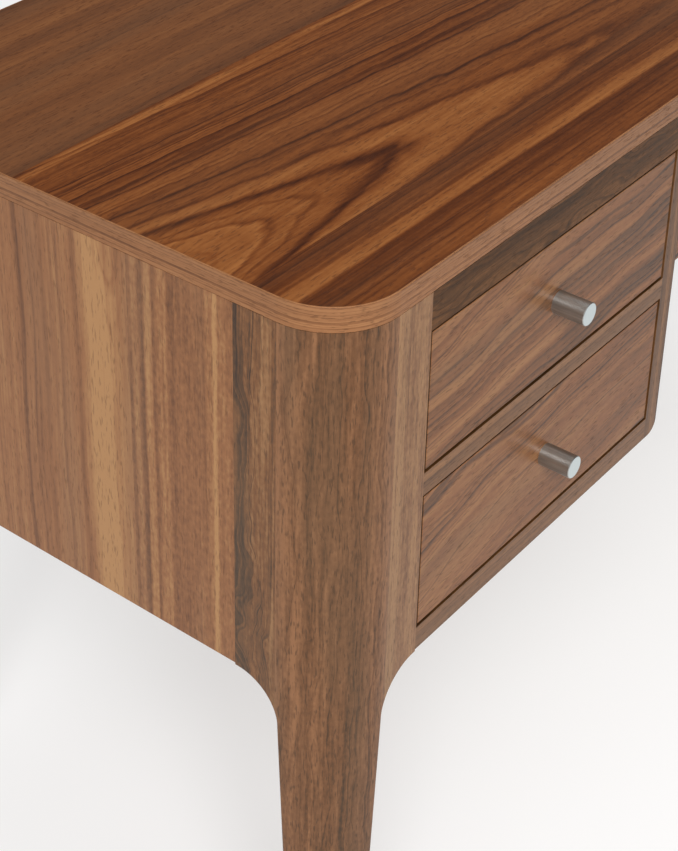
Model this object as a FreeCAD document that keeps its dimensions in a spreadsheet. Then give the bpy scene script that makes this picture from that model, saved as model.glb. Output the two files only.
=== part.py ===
"""Writing desk with a two-drawer pedestal, a centre drawer and rounded corner legs.

Millimetres, +Z up. The origin is on the floor, under the middle of the desk's bounding box, and the
drawers open towards -Y. Places are worked out from the desk's left side, its front face and the floor,
and place() moves them to the origin.
"""
import FreeCAD, Part
import math
import os
import re

import Sketcher
from FreeCAD import Placement, Rotation, Vector

DIMENSIONS = [
    ("desk_width", 1220, "overall, left to right"),
    ("desk_depth", 522, "front face to back face, without the knobs"),
    ("desk_height", 760, "floor to the top surface"),
    ("top_thickness", 20, "tabletop"),
    ("band_thickness", 1.2, "edge band round the tabletop"),
    ("band_round", 0.6, "rounding of the edge band's two outer edges"),
    ("corner_radius", 58, "vertical corners of the desk, and the width of a leg's corner block"),
    ("leg_face", 96, "width of a leg on each face, beside the panels"),
    ("wing_thickness", 22, "flat wings glued to the corner block"),
    ("shoulder_drop", 2.8, "how far a leg's shoulder stands below the panels"),
    ("shoulder_radius", 37.5, "hollow under the shoulder"),
    ("neck_width", 56.2, "leg just below the hollow"),
    ("foot_width", 38.7, "leg at the foot"),
    ("leg_edge_round", 1.5, "rounding of the leg's long edges"),
    ("glide_height", 4, "plastic glide under a leg"),
    ("glide_diameter", 20, "plastic glide"),
    ("glide_inset", 25.5, "middle of a glide from the desk's two sides"),
    ("glide_nail_diameter", 3, "nail moulded into the glide"),
    ("glide_nail_length", 16, "nail moulded into the glide"),
    ("top_rail_height", 31.5, "rail under the tabletop"),
    ("upper_opening", 122, "height of the upper drawer's opening, and of the centre drawer's"),
    ("middle_rail_height", 20, "rail between the drawers"),
    ("lower_opening", 124.5, "height of the lower drawer's opening"),
    ("bottom_rail_height", 21.5, "rail under the lower drawer"),
    ("rail_thickness", 20, "rails, stile and drawer fronts, front to back"),
    ("drawer_opening", 340, "width of the pedestal's openings"),
    ("stile_width", 19, "stile beside the knee space"),
    ("pedestal_round", 12, "rounding of the pedestal's lower right edge"),
    ("panel_thickness", 20, "end, back and modesty panels"),
    ("inner_thickness", 18, "panels inside the pedestal"),
    ("front_gap", 2.3, "gap round each drawer front"),
    ("front_setback", 0.5, "how far the pedestal's drawer fronts stand behind the rails"),
    ("front_edge_round", 0.6, "rounding of a drawer front's edges"),
    ("center_setback", 4, "how far the centre drawer's front stands behind the rails"),
    ("box_depth", 430, "drawer box behind the front"),
    ("box_height", 90, "drawer box"),
    ("box_drop", 15, "top of the drawer box below the top of its opening"),
    ("box_wall", 12, "drawer sides and back"),
    ("box_bottom", 6, "drawer bottom, held in grooves as deep as it is thick"),
    ("box_groove_rise", 9, "underside of the drawer bottom above the lower edge of the sides"),
    ("slide_thickness", 12.7, "one slide, from the panel to the drawer side"),
    ("slide_length", 400, "each slide member"),
    ("slide_height", 45, "outer slide member"),
    ("slide_metal", 1.2, "sheet that the members are bent from"),
    ("slide_ball_gap", 1.6, "room for the balls between one member and the next"),
    ("slide_flange", 8.4, "depth of the outer and inner members"),
    ("slide_middle_offset", 2.6, "middle member's web, from the panel"),
    ("slide_setback", 6, "slide members behind the rails"),
    ("knob_diameter", 19, "cylindrical knob"),
    ("knob_length", 28, "cylindrical knob"),
    ("knob_edge", 0.5, "chamfer of the knob's outer edge"),
    ("knob_screw_diameter", 4, "screw through the drawer front"),
    ("knob_screw_bite", 12, "how far the screw goes into the knob"),
    ("knob_screw_head_diameter", 8, "its head, inside the drawer"),
    ("knob_screw_head_height", 2.4, "its head, inside the drawer"),
    ("dowel_diameter", 8, "beech dowel"),
    ("dowel_length", 30, "beech dowel, half in each piece"),
    ("screw_diameter", 3.5, "screws in the brackets and the slides"),
    ("screw_length", 15, "screws in the brackets and the slides, under the head"),
    ("screw_head_diameter", 7, "screws in the brackets and the slides"),
    ("screw_head_height", 2, "screw in a bracket"),
    ("slide_screw_head_height", 1, "low head that clears the middle slide member"),
    ("bracket_width", 30, "angle bracket under the tabletop"),
    ("bracket_reach", 20, "each of the bracket's two arms"),
    ("bracket_metal", 2, "angle bracket"),
    ("bracket_hole", 12, "middle of a bracket's hole from its corner"),
]

doc = FreeCAD.newDocument("WritingDesk")
sheet = doc.addObject("Spreadsheet::Sheet", "Dimensions")
for row, (alias, size, meaning) in enumerate(DIMENSIONS, start=1):
    sheet.set("A%d" % row, meaning)
    sheet.set("B%d" % row, str(size))
    sheet.setAlias("B%d" % row, alias)
doc.recompute()


# ---- sizes: a formula is a text made of aliases, such as "desk_width - 2 * leg_face" ----

def on_sheet(formula):
    """The formula as an expression that reads the sheet's cells."""
    return re.sub(r"[a-z_]+", lambda word: "Dimensions." + word.group(), str(formula))


def value(formula):
    """The formula's number."""
    return float(sheet.evalExpression(str(formula)))


KNOB_REACH = "(knob_length - front_setback)"
FRONT_FACE = f"(0 - (desk_depth - {KNOB_REACH}) / 2)"
LEFT_FACE = "(0 - desk_width / 2)"

# heights above the floor
UNDERSIDE = "(desk_height - top_thickness)"
UPPER_TOP = f"({UNDERSIDE} - top_rail_height)"
UPPER_BOTTOM = f"({UPPER_TOP} - upper_opening)"
LOWER_TOP = f"({UPPER_BOTTOM} - middle_rail_height)"
LOWER_BOTTOM = f"({LOWER_TOP} - lower_opening)"
CARCASS_BOTTOM = f"({LOWER_BOTTOM} - bottom_rail_height)"

# distances from the left side
STILE_LEFT = "(leg_face + drawer_opening)"
STILE_RIGHT = f"({STILE_LEFT} + stile_width)"
RIGHT_LEG = "(desk_width - leg_face)"
KNEE_WIDTH = f"({RIGHT_LEG} - {STILE_RIGHT})"

# distances from the front face
BACK_PANEL_FRONT = "(desk_depth - panel_thickness)"
SLIDE_FRONT = "(rail_thickness + slide_setback)"


# ---- building blocks ----

def place(piece, x=0, y=0, z=0, turn=0):
    """Put a piece at x from the left side, y from the front face and z from the floor."""
    piece.Placement = Placement(Vector(), Rotation(Vector(0, 0, 1), turn))
    piece.setExpression("Placement.Base.x", on_sheet(f"{LEFT_FACE} + {x}"))
    piece.setExpression("Placement.Base.y", on_sheet(f"{FRONT_FACE} + {y}"))
    piece.setExpression("Placement.Base.z", on_sheet(z))
    return piece


def at(x, y, z):
    """The same place as a vector, for pieces that carry their own shape."""
    return Vector(value(f"{LEFT_FACE} + {x}"), value(f"{FRONT_FACE} + {y}"), value(z))


def box(name, x, y, z, width, depth, height):
    """A plain square-edged board with its low corner at x, y, z."""
    board = doc.addObject("Part::Box", name)
    board.setExpression("Length", on_sheet(width))
    board.setExpression("Width", on_sheet(depth))
    board.setExpression("Height", on_sheet(height))
    return place(board, x, y, z)


def cut(name, base, tools):
    """The base with the room for the tools taken out of it."""
    joint = doc.addObject("Part::Cut", name)
    joint.Base = base
    joint.Tool = tools[0] if len(tools) == 1 else group(name + "_tools", tools)
    return joint


def group(name, pieces):
    """Separate solids that share one name."""
    together = doc.addObject("Part::Compound", name)
    together.Links = pieces
    return together


def new_sketch(body, plane, name):
    """An empty sketch on one of the body's own origin planes."""
    sketch = body.newObject("Sketcher::SketchObject", name)
    support = [feature for feature in body.Origin.OriginFeatures if feature.Role == plane][0]
    sketch.AttachmentSupport = [(support, "")]
    sketch.MapMode = "FlatFace"
    return sketch


def dimension(sketch, kind, *where, size):
    """A driving dimension of the sketch, bound to the sheet."""
    index = sketch.addConstraint(Sketcher.Constraint(kind, *where, value(size)))
    sketch.setExpression(f"Constraints[{index}]", on_sheet(size))


START, END, CENTRE = 1, 2, 3
ORIGIN = (-1, 1)
X_AXIS = -1
Y_AXIS = -2


def line(sketch, start, end):
    return sketch.addGeometry(Part.LineSegment(Vector(*start), Vector(*end)))


def pin(sketch, side, end, x, y):
    """Hold one end of a line at x, y from the sketch's origin. A zero lies on the other axis."""
    for kind, axis, distance in (("DistanceX", Y_AXIS, x), ("DistanceY", X_AXIS, y)):
        if distance == "0":
            sketch.addConstraint(Sketcher.Constraint("PointOnObject", side, end, axis))
        else:
            dimension(sketch, kind, *ORIGIN, side, end, size=distance)


def draw_rectangle(sketch, width, height, left="0", low="0"):
    """A rectangle of width and height, with its low left corner at left, low."""
    x, y = value(left), value(low)
    across, up = x + value(width), y + value(height)
    corners = [(x, y), (across, y), (across, up), (x, up)]
    sides = [line(sketch, corners[i], corners[(i + 1) % 4]) for i in range(4)]
    for side, following in zip(sides, sides[1:] + sides[:1]):
        sketch.addConstraint(Sketcher.Constraint("Coincident", side, END, following, START))
    for side, direction in zip(sides, ("Horizontal", "Vertical") * 2):
        sketch.addConstraint(Sketcher.Constraint(direction, side))
    pin(sketch, sides[0], START, left, low)
    dimension(sketch, "DistanceX", sides[0], START, sides[0], END, size=width)
    dimension(sketch, "DistanceY", sides[1], START, sides[1], END, size=height)


def draw_rounded_rectangle(sketch, width, height, radius):
    """A rectangle with round corners, centred on the sketch's origin."""
    half_x, half_y, round_off = value(width) / 2, value(height) / 2, value(radius)
    inner_x, inner_y = half_x - round_off, half_y - round_off
    quarter = math.pi / 2
    sides = [
        line(sketch, (-inner_x, -half_y), (inner_x, -half_y)),
        line(sketch, (half_x, -inner_y), (half_x, inner_y)),
        line(sketch, (inner_x, half_y), (-inner_x, half_y)),
        line(sketch, (-half_x, inner_y), (-half_x, -inner_y)),
    ]
    centres = [(inner_x, -inner_y), (inner_x, inner_y), (-inner_x, inner_y), (-inner_x, -inner_y)]
    corners = []
    for turn, centre in enumerate(centres):
        circle = Part.Circle(Vector(*centre), Vector(0, 0, 1), round_off)
        arc = Part.ArcOfCircle(circle, (turn - 1) * quarter, turn * quarter)
        corners.append(sketch.addGeometry(arc))
    for index, (side, corner) in enumerate(zip(sides, corners)):
        following = sides[(index + 1) % 4]
        sketch.addConstraint(Sketcher.Constraint("Tangent", side, END, corner, START))
        sketch.addConstraint(Sketcher.Constraint("Tangent", corner, END, following, START))
    sketch.addConstraint(Sketcher.Constraint("Horizontal", sides[0]))
    for corner in corners[1:]:
        sketch.addConstraint(Sketcher.Constraint("Equal", corners[0], corner))
    dimension(sketch, "Radius", corners[0], size=radius)
    dimension(sketch, "DistanceX", sides[3], START, sides[1], START, size=width)
    dimension(sketch, "DistanceY", sides[0], START, sides[2], START, size=height)
    sketch.addConstraint(Sketcher.Constraint("Symmetric", corners[0], CENTRE, corners[2], CENTRE, *ORIGIN))


def pad(body, sketch, length):
    feature = body.newObject("PartDesign::Pad", "Pad")
    feature.Profile = sketch
    feature.setExpression("Length", on_sheet(length))
    return feature


def pocket(body, sketch):
    """Cut the sketch through the whole body, both ways, and check that it met the wood."""
    doc.recompute()
    before = body.Shape.Volume
    feature = body.newObject("PartDesign::Pocket", "Pocket")
    feature.Profile = sketch
    feature.Type = "ThroughAll"
    feature.SideType = "Symmetric"
    doc.recompute()
    check_removed(body, before)


def dress_edges(kind, body, size_name, formula, chosen):
    """Round or chamfer the body's edges that the test picks."""
    doc.recompute()
    before = body.Shape.Volume
    last = body.Tip
    edges = [f"Edge{i}" for i, edge in enumerate(last.Shape.Edges, start=1) if chosen(edge)]
    feature = body.newObject(kind, "Dressed")
    feature.Base = (last, edges)
    feature.setExpression(size_name, on_sheet(formula))
    doc.recompute()
    check_removed(body, before)


def check_removed(body, before):
    removed = before - body.Shape.Volume
    if not 0 < removed < before:
        raise RuntimeError(f"{body.Label}: the last feature removed {removed:.1f} mm3")


def round_edges(body, radius, chosen):
    dress_edges("PartDesign::Fillet", body, "Radius", radius, chosen)


def chamfer_edges(body, width, chosen):
    dress_edges("PartDesign::Chamfer", body, "Size", width, chosen)


def low(edge, axis):
    """The edge's lowest coordinate on the axis x, y or z."""
    return getattr(edge.BoundBox, axis.upper() + "Min")


def high(edge, axis):
    """The edge's highest coordinate on the axis."""
    return getattr(edge.BoundBox, axis.upper() + "Max")


def close(a, b):
    """Whether two coordinates are the same, within a bounding box's margin."""
    return abs(a - b) < 0.01


def block(name, x, y, z, width, depth, height, turn=0):
    """A padded rectangle, for the boards that get more features."""
    body = doc.addObject("PartDesign::Body", name)
    sketch = new_sketch(body, "XY_Plane", "Outline")
    draw_rectangle(sketch, width, depth)
    pad(body, sketch, height)
    return place(body, x, y, z, turn)


# a fastener's shank and its head, each as a diameter and a length
WOOD_SCREW = (("screw_diameter", "screw_length"), ("screw_head_diameter", "screw_head_height"))
SLIDE_SCREW = (("screw_diameter", "screw_length"), ("screw_head_diameter", "slide_screw_head_height"))
KNOB_SCREW = (("knob_screw_diameter", "rail_thickness + knob_screw_bite"),
              ("knob_screw_head_diameter", "knob_screw_head_height"))
GLIDE = (("glide_nail_diameter", "glide_nail_length"), ("glide_diameter", "glide_height"))


def fastener(kind, base, direction):
    """A screw or nail that goes in at base along direction, with its head on the near side of base."""
    (shank_diameter, shank_length), (head_diameter, head_height) = kind
    shank = Part.makeCylinder(value(shank_diameter) / 2, value(shank_length), base, direction)
    head_base = base - direction * value(head_height)
    head = Part.makeCylinder(value(head_diameter) / 2, value(head_height), head_base, direction)
    return shank.fuse(head).removeSplitter()


def loose_pieces(name, shapes):
    """Small identical pieces as one object of separate solids."""
    feature = doc.addObject("Part::Feature", name)
    feature.Shape = Part.makeCompound(shapes)
    feature.Placement = Placement()
    return feature


# ---- legs: a corner block that runs to the floor, and a wing on each face ----

LEG_LENGTH = f"({UNDERSIDE} - glide_height)"
SHOULDER = f"({CARCASS_BOTTOM} - shoulder_drop - glide_height)"
NECK = f"({SHOULDER} - shoulder_radius)"

CORNERS = {
    "front_left": ("0", "0", 0),
    "front_right": ("desk_width", "0", 90),
    "back_right": ("desk_width", "desk_depth", 180),
    "back_left": ("0", "desk_depth", 270),
}


def draw_quarter_disc(sketch):
    """The block's section: round outside, square inside, with the desk's corner at the origin."""
    r = value("corner_radius")
    circle = Part.Circle(Vector(r, r), Vector(0, 0, 1), r)
    arc = sketch.addGeometry(Part.ArcOfCircle(circle, math.pi, 3 * math.pi / 2))
    front = line(sketch, (r, 0), (r, r))
    side = line(sketch, (r, r), (0, r))
    sketch.addConstraint(Sketcher.Constraint("Coincident", arc, END, front, START))
    sketch.addConstraint(Sketcher.Constraint("Coincident", front, END, side, START))
    sketch.addConstraint(Sketcher.Constraint("Coincident", side, END, arc, START))
    sketch.addConstraint(Sketcher.Constraint("Coincident", front, END, arc, CENTRE))
    sketch.addConstraint(Sketcher.Constraint("Vertical", front))
    sketch.addConstraint(Sketcher.Constraint("Horizontal", side))
    sketch.addConstraint(Sketcher.Constraint("PointOnObject", front, START, X_AXIS))
    sketch.addConstraint(Sketcher.Constraint("PointOnObject", side, END, Y_AXIS))
    dimension(sketch, "Radius", arc, size="corner_radius")


def draw_waste_inside_leg(sketch):
    """What is sawn away inside a leg: the hollow under the shoulder, then the long taper to the foot."""
    neck, foot, radius = value("neck_width"), value("foot_width"), value("shoulder_radius")
    shoulder_z, neck_z = value(SHOULDER), value(NECK)
    outside = "leg_face + wing_thickness"
    far = value(outside)
    shoulder = line(sketch, (far, shoulder_z), (neck + radius, shoulder_z))
    circle = Part.Circle(Vector(neck + radius, neck_z), Vector(0, 0, 1), radius)
    hollow = sketch.addGeometry(Part.ArcOfCircle(circle, math.pi / 2, math.pi))
    taper = line(sketch, (neck, neck_z), (foot, 0))
    floor = line(sketch, (foot, 0), (far, 0))
    back = line(sketch, (far, 0), (far, shoulder_z))
    sketch.addConstraint(Sketcher.Constraint("Horizontal", shoulder))
    sketch.addConstraint(Sketcher.Constraint("Tangent", shoulder, END, hollow, START))
    sketch.addConstraint(Sketcher.Constraint("Coincident", hollow, END, taper, START))
    sketch.addConstraint(Sketcher.Constraint("Coincident", taper, END, floor, START))
    sketch.addConstraint(Sketcher.Constraint("Coincident", floor, END, back, START))
    sketch.addConstraint(Sketcher.Constraint("Coincident", back, END, shoulder, START))
    sketch.addConstraint(Sketcher.Constraint("Vertical", back))
    sketch.addConstraint(Sketcher.Constraint("PointOnObject", floor, START, X_AXIS))
    sketch.addConstraint(Sketcher.Constraint("PointOnObject", floor, END, X_AXIS))
    sketch.addConstraint(Sketcher.Constraint("Horizontal", hollow, CENTRE, hollow, END))
    dimension(sketch, "Radius", hollow, size="shoulder_radius")
    dimension(sketch, "DistanceX", *ORIGIN, hollow, END, size="neck_width")
    dimension(sketch, "DistanceY", *ORIGIN, hollow, START, size=SHOULDER)
    dimension(sketch, "DistanceX", *ORIGIN, taper, END, size="foot_width")
    dimension(sketch, "DistanceX", *ORIGIN, floor, END, size=outside)


def saw_inside(body, plane):
    waste = new_sketch(body, plane, "Waste")
    draw_waste_inside_leg(waste)
    pocket(body, waste)


def leg_block(name):
    body = doc.addObject("PartDesign::Body", name)
    section = new_sketch(body, "XY_Plane", "Section")
    draw_quarter_disc(section)
    pad(body, section, LEG_LENGTH)
    saw_inside(body, "XZ_Plane")
    saw_inside(body, "YZ_Plane")
    neck_z = value(NECK)
    round_edges(body, "leg_edge_round", lambda edge: high(edge, "z") < neck_z + 1 and low(edge, "z") < 1
                and edge.Length > neck_z / 2)
    return body


def leg_wing(name, plane, left, low_edge, width, depth):
    """A wing in the leg's own frame. The plane is the one that its shoulder is drawn on."""
    body = doc.addObject("PartDesign::Body", name)
    section = new_sketch(body, "XY_Plane", "Section")
    section.setExpression("AttachmentOffset.Base.z", on_sheet(NECK))
    draw_rectangle(section, width, depth, left, low_edge)
    pad(body, section, f"{LEG_LENGTH} - {NECK}")
    saw_inside(body, plane)
    round_edges(body, "leg_edge_round", lambda edge: isinstance(edge.Curve, Part.Circle))
    return body


def make_legs(dowels, glides):
    """Four legs, each turned into its corner, and each pair of wings."""
    wing_width = "leg_face - corner_radius"
    legs = {}
    for corner, (x, y, turn) in CORNERS.items():
        block_body = place(leg_block(corner + "_leg_blank"), x, y, "glide_height", turn)
        along = leg_wing(corner + "_wing_along", "XZ_Plane", "corner_radius", "0",
                         wing_width, "wing_thickness")
        across = leg_wing(corner + "_wing_across", "YZ_Plane", "0", "corner_radius",
                          "wing_thickness", wing_width)
        wings = place(group(corner + "_wings_blank", [along, across]), x, y, "glide_height", turn)
        legs[corner + "_leg"] = cut(corner + "_leg", block_body, [glides])
        legs[corner + "_leg_wings"] = cut(corner + "_leg_wings", wings, [dowels])
    return legs


# ---- fasteners ----

RIGHTWARDS, BACKWARDS, UPWARDS = Vector(1, 0, 0), Vector(0, 1, 0), Vector(0, 0, 1)

# where the dowels stand, as parts of the height of the joint they hold
TWO_DOWELS = (0.25, 0.75)
THREE_DOWELS = (0.2, 0.5, 0.8)


def make_dowels():
    """Beech dowels, each half in one piece and half in the next."""
    mid_rail, mid_panel = "rail_thickness / 2", "panel_thickness / 2"
    back = f"{BACK_PANEL_FRONT} + panel_thickness / 2"
    top_rail = [f"{UPPER_TOP} + top_rail_height * {part}" for part in TWO_DOWELS]
    panel = [f"{CARCASS_BOTTOM} + ({UNDERSIDE} - {CARCASS_BOTTOM}) * {part}" for part in THREE_DOWELS]
    apron = [f"{UPPER_BOTTOM} + ({UNDERSIDE} - {UPPER_BOTTOM}) * {part}" for part in TWO_DOWELS]
    middle = f"{LOWER_TOP} + middle_rail_height / 2"
    bottom = f"{CARCASS_BOTTOM} + bottom_rail_height / 2"
    spots = [("leg_face", mid_rail, z, RIGHTWARDS) for z in top_rail + [middle, bottom]]
    spots += [(RIGHT_LEG, mid_rail, z, RIGHTWARDS) for z in top_rail]
    spots += [(STILE_LEFT, mid_rail, z, RIGHTWARDS) for z in (middle, bottom)]
    spots += [(f"{STILE_LEFT} + stile_width / 2", mid_rail, UPPER_TOP, UPWARDS)]
    spots += [("leg_face", back, z, RIGHTWARDS) for z in panel]
    spots += [(x, back, z, RIGHTWARDS) for x in (STILE_RIGHT, RIGHT_LEG) for z in apron]
    for x in (mid_panel, f"desk_width - {mid_panel}"):
        for y in ("leg_face", "desk_depth - leg_face"):
            spots += [(x, y, z, BACKWARDS) for z in panel]
    radius, length = value("dowel_diameter") / 2, value("dowel_length")
    dowels = [Part.makeCylinder(radius, length, at(x, y, z) - way * (length / 2), way)
              for x, y, z, way in spots]
    return loose_pieces("frame_dowels", dowels)


def make_glides():
    """A plastic disc under each foot, held by the nail moulded into it."""
    glides = []
    for x in ("glide_inset", "desk_width - glide_inset"):
        for y in ("glide_inset", "desk_depth - glide_inset"):
            glides.append(fastener(GLIDE, at(x, y, "glide_height"), UPWARDS))
    return loose_pieces("leg_glides", glides)


def make_brackets():
    """Angle brackets that hold the top down, and two screws in each."""
    spots = [
        ("leg_face + drawer_opening / 2", "rail_thickness", 0),
        (f"{STILE_RIGHT} + {KNEE_WIDTH} / 2", "rail_thickness", 0),
        ("leg_face + drawer_opening / 2", BACK_PANEL_FRONT, 180),
        (f"{STILE_RIGHT} + {KNEE_WIDTH} / 2", BACK_PANEL_FRONT, 180),
        ("panel_thickness", "desk_depth / 2", 270),
        ("desk_width - panel_thickness", "desk_depth / 2", 90),
    ]
    width, reach, metal = value("bracket_width"), value("bracket_reach"), value("bracket_metal")
    hole = value("bracket_hole")
    left = Vector(-width / 2, 0, 0)
    flat = Part.makeBox(width, reach, metal, left - UPWARDS * metal)
    upright = Part.makeBox(width, metal, reach, left - UPWARDS * reach)
    angle = flat.fuse(upright).removeSplitter()
    up = fastener(WOOD_SCREW, Vector(0, hole, -metal), UPWARDS)
    sideways = fastener(WOOD_SCREW, Vector(0, metal, -hole), -BACKWARDS)
    angle = angle.cut(up).cut(sideways)
    brackets, screws = [], []
    for x, y, turn in spots:
        stand = Placement(at(x, y, UNDERSIDE), Rotation(UPWARDS, turn))
        brackets.append(angle.transformed(stand.toMatrix()))
        screws += [up.transformed(stand.toMatrix()), sideways.transformed(stand.toMatrix())]
    return loose_pieces("tabletop_brackets", brackets), loose_pieces("bracket_screws", screws)


# ---- tabletop ----

def make_tabletop(bracket_screws):
    """The panel with round corners, and the band glued round its edge."""
    middle = ("desk_width / 2", "desk_depth / 2", UNDERSIDE)
    inner = ("desk_width - 2 * band_thickness", "desk_depth - 2 * band_thickness",
             "corner_radius - band_thickness")
    panel = doc.addObject("PartDesign::Body", "tabletop_blank")
    outline = new_sketch(panel, "XY_Plane", "Outline")
    draw_rounded_rectangle(outline, *inner)
    pad(panel, outline, "top_thickness")
    place(panel, *middle)

    band = doc.addObject("PartDesign::Body", "tabletop_edge_band")
    ring = new_sketch(band, "XY_Plane", "Ring")
    draw_rounded_rectangle(ring, "desk_width", "desk_depth", "corner_radius")
    draw_rounded_rectangle(ring, *inner)
    pad(band, ring, "top_thickness")
    place(band, *middle)
    side, front = value("desk_width / 2"), value("desk_depth / 2")
    radius = value("corner_radius")

    def outer_rim(edge):
        """The outer edges of the band's top and bottom. Its sketches are centred on the desk."""
        if not close(low(edge, "z"), high(edge, "z")):
            return False
        if isinstance(edge.Curve, Part.Circle):
            return close(edge.Curve.Radius, radius)
        on_side = close(abs(low(edge, "x")), side) and close(abs(high(edge, "x")), side)
        on_front = close(abs(low(edge, "y")), front) and close(abs(high(edge, "y")), front)
        return on_side or on_front

    round_edges(band, "band_round", outer_rim)
    return {"tabletop_panel": cut("tabletop_panel", panel, [bracket_screws]), "tabletop_edge_band": band}


# ---- frame: panels and rails between the legs ----

def corner_board(name, x, y, width, depth, height):
    """An upright board that stands at the pedestal's lower right edge and carries its rounding."""
    board = block(name, x, y, CARCASS_BOTTOM, width, depth, height)
    outer = value(width)
    round_edges(board, "pedestal_round",
                lambda edge: close(low(edge, "x"), outer) and close(high(edge, "z"), 0))
    return board


def make_front(dowels, bracket_screws):
    """The rails and the stile round the drawer fronts."""
    top = box("top_rail_blank", "leg_face", "0", UPPER_TOP,
              f"{RIGHT_LEG} - leg_face", "rail_thickness", "top_rail_height")
    middle = box("middle_rail_blank", "leg_face", "0", LOWER_TOP,
                 "drawer_opening", "rail_thickness", "middle_rail_height")
    bottom = box("bottom_rail_blank", "leg_face", "0", CARCASS_BOTTOM,
                 "drawer_opening", "rail_thickness", "bottom_rail_height")
    stile = corner_board("pedestal_stile_blank", STILE_LEFT, "0", "stile_width", "rail_thickness",
                         f"{UPPER_TOP} - {CARCASS_BOTTOM}")
    return {
        "top_rail": cut("top_rail", top, [dowels, bracket_screws]),
        "middle_rail": cut("middle_rail", middle, [dowels]),
        "bottom_rail": cut("bottom_rail", bottom, [dowels]),
        "pedestal_stile": cut("pedestal_stile", stile, [dowels]),
    }


def make_panels(dowels, bracket_screws, slide_screws, legs):
    """The panels between the legs, and those inside that carry the drawers."""
    full_height = f"{UNDERSIDE} - {CARCASS_BOTTOM}"
    apron_height = f"{UNDERSIDE} - {UPPER_BOTTOM}"
    end_depth = "desk_depth - 2 * leg_face"
    left_end = box("left_end_blank", "0", "leg_face", CARCASS_BOTTOM,
                   "panel_thickness", end_depth, full_height)
    right_end = box("right_end_blank", "desk_width - panel_thickness", "leg_face", CARCASS_BOTTOM,
                    "panel_thickness", end_depth, full_height)
    back = corner_board("pedestal_back_blank", "leg_face", BACK_PANEL_FRONT,
                        f"{STILE_RIGHT} - leg_face", "panel_thickness", full_height)
    modesty = box("modesty_blank", STILE_RIGHT, BACK_PANEL_FRONT, UPPER_BOTTOM,
                  KNEE_WIDTH, "panel_thickness", apron_height)
    inner = corner_board("pedestal_inner_blank", f"{STILE_RIGHT} - inner_thickness", "rail_thickness",
                         "inner_thickness", f"{BACK_PANEL_FRONT} - rail_thickness", full_height)
    between_wings = "desk_depth - 2 * wing_thickness"
    slide_panel = box("pedestal_slide_blank", "leg_face - inner_thickness", "wing_thickness",
                      f"{CARCASS_BOTTOM} + inner_thickness", "inner_thickness", between_wings,
                      f"{full_height} - inner_thickness")
    hanger = box("center_hanger_blank", RIGHT_LEG, "wing_thickness", UPPER_BOTTOM,
                 "inner_thickness", between_wings, apron_height)
    floor = box("pedestal_bottom_blank", "panel_thickness", "rail_thickness", CARCASS_BOTTOM,
                f"{STILE_RIGHT} - inner_thickness - panel_thickness",
                f"{BACK_PANEL_FRONT} - rail_thickness", "inner_thickness")
    left_legs = [piece for name, piece in legs.items() if "_left_leg" in name]
    return {
        "left_end_panel": cut("left_end_panel", left_end, [dowels, bracket_screws]),
        "right_end_panel": cut("right_end_panel", right_end, [dowels, bracket_screws]),
        "pedestal_back_panel": cut("pedestal_back_panel", back, [dowels, bracket_screws]),
        "modesty_panel": cut("modesty_panel", modesty, [dowels, bracket_screws]),
        "pedestal_inner_panel": cut("pedestal_inner_panel", inner, [slide_screws]),
        "pedestal_slide_panel": cut("pedestal_slide_panel", slide_panel, [slide_screws]),
        "center_drawer_hanger": cut("center_drawer_hanger", hanger, [slide_screws]),
        "pedestal_bottom_panel": cut("pedestal_bottom_panel", floor, left_legs + [dowels]),
    }


# ---- drawers and their slides ----

class Opening:
    """Where a drawer lives: the panels that its slides hang on, and the top of its opening."""

    def __init__(self, name, left, right, top, height, setback):
        self.name = name
        self.left = left
        self.right = right
        self.top = top
        self.height = height
        self.front = setback
        self.back_of_front = f"({setback} + rail_thickness)"
        self.box_top = f"({top} - box_drop)"
        self.box_low = f"({self.box_top} - box_height)"
        self.slide_middle = f"({self.box_top} - box_height / 2)"
        self.centre = f"(({left} + {right}) / 2)"
        self.middle = f"({top} - {height} / 2)"


OPENINGS = [
    Opening("upper", "leg_face", STILE_LEFT, UPPER_TOP, "upper_opening", "front_setback"),
    Opening("lower", "leg_face", STILE_LEFT, LOWER_TOP, "lower_opening", "front_setback"),
    Opening("center", STILE_RIGHT, RIGHT_LEG, UPPER_TOP, "upper_opening", "center_setback"),
]
SLIDE_SCREW_SPOTS = (0.1, 0.5, 0.9)
MIDDLE_HEIGHT = "(slide_height - 2 * slide_metal - 2 * slide_ball_gap)"
INNER_HEIGHT = "(slide_height - 4 * slide_metal - 4 * slide_ball_gap)"


def make_slide_screws():
    """The screws that hold the outer slide members to their panels, three in each."""
    screws = []
    for opening in OPENINGS:
        for wall, into_wall in ((opening.left, -RIGHTWARDS), (opening.right, RIGHTWARDS)):
            for part in SLIDE_SCREW_SPOTS:
                seat = at(wall, f"{SLIDE_FRONT} + slide_length * {part}", opening.slide_middle)
                seat -= into_wall * value("slide_metal")
                screws.append(fastener(SLIDE_SCREW, seat, into_wall))
    return loose_pieces("slide_screws", screws)


def channel(name, web, opens_right, height, middle):
    """One slide member: a channel whose web stands at web and whose flanges point left or right."""
    start = web if opens_right else f"{web} - slide_flange"
    hollow_start = f"{start} + slide_metal" if opens_right else start
    low_edge = f"{middle} - {height} / 2"
    solid = box(name + "_solid", start, SLIDE_FRONT, low_edge, "slide_flange", "slide_length", height)
    hollow = box(name + "_hollow", hollow_start, SLIDE_FRONT, f"{low_edge} + slide_metal",
                 "slide_flange - slide_metal", "slide_length", f"{height} - 2 * slide_metal")
    return cut(name, solid, [hollow])


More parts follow.
